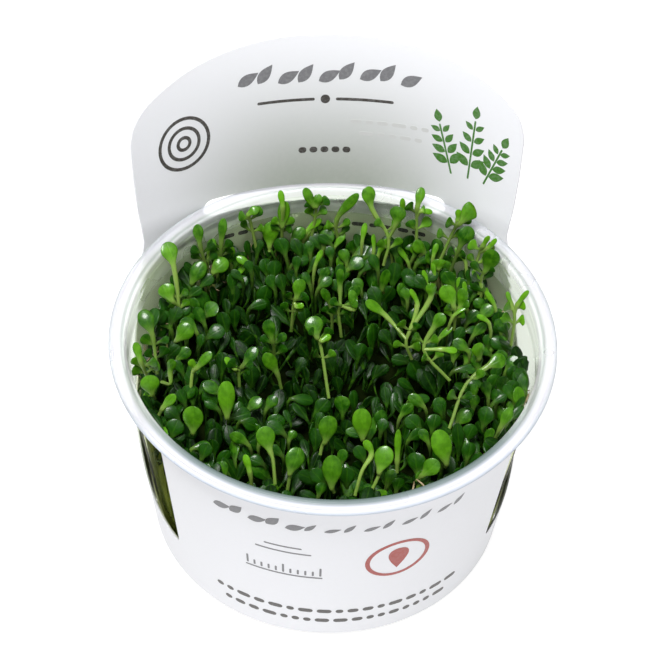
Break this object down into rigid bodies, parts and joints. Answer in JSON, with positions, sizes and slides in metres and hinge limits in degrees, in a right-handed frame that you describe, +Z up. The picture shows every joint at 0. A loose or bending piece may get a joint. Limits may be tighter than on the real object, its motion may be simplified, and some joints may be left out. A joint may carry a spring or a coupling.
{
  "type": "cup of mud mat plants",
  "caption": "Clear cup packed with young mat-forming water plants on gel, held by its flat rim in a die-cut white card sleeve with side windows and a tall curved header.",
  "frame": {"origin": "centre of the cup's flat underside, on the surface it stands on", "axes": "+Z up, -Y towards the card's front panel, +Y towards its tall header, +X to the right as seen from the front"},
  "size_m": [0.1, 0.1071, 0.0963],
  "materials": {
    "clear_plastic": "clear, faintly milky, glossy moulded plastic",
    "white_card": "smooth white coated card, satin",
    "clear_gel": "clear, slightly yellow, wet gel",
    "undergrowth": "dense dark green stems and small glossy leaves",
    "leaf": "fresh glossy green leaves on pale yellow-green stalks"
  },
  "bodies": {
    "root": {"cup": "clear_plastic", "card_sleeve": "white_card", "nutrient_gel": "clear_gel", "plant_mat": "undergrowth", "left_1": "leaf", "left_2": "leaf", "left_3": "leaf", "left_4": "leaf", "left_5": "leaf", "left_6": "leaf", "left_7": "leaf", "back_1": "leaf", "back_2": "leaf", "back_3": "leaf", "back_4": "leaf", "back_5": "leaf", "back_6": "leaf", "back_7": "leaf", "back_8": "leaf", "back_9": "leaf", "back_10": "leaf", "back_11": "leaf", "back_12": "leaf", "back_13": "leaf", "back_14": "leaf", "back_15": "leaf", "back_16": "leaf", "back_17": "leaf", "back_18": "leaf", "right_1": "leaf", "right_2": "leaf", "right_3": "leaf", "right_4": "leaf", "right_5": "leaf", "right_6": "leaf", "middle_1": "leaf", "middle_2": "leaf", "middle_3": "leaf", "middle_4": "leaf", "middle_5": "leaf", "middle_6": "leaf", "middle_7": "leaf", "middle_8": "leaf", "front_1": "leaf", "front_2": "leaf", "front_3": "leaf", "front_4": "leaf", "front_5": "leaf", "front_6": "leaf", "front_7": "leaf", "front_8": "leaf", "front_9": "leaf", "front_10": "leaf", "front_11": "leaf", "front_12": "leaf", "front_13": "leaf", "front_14": "leaf", "front_15": "leaf"}
  },
  "joints": []
}
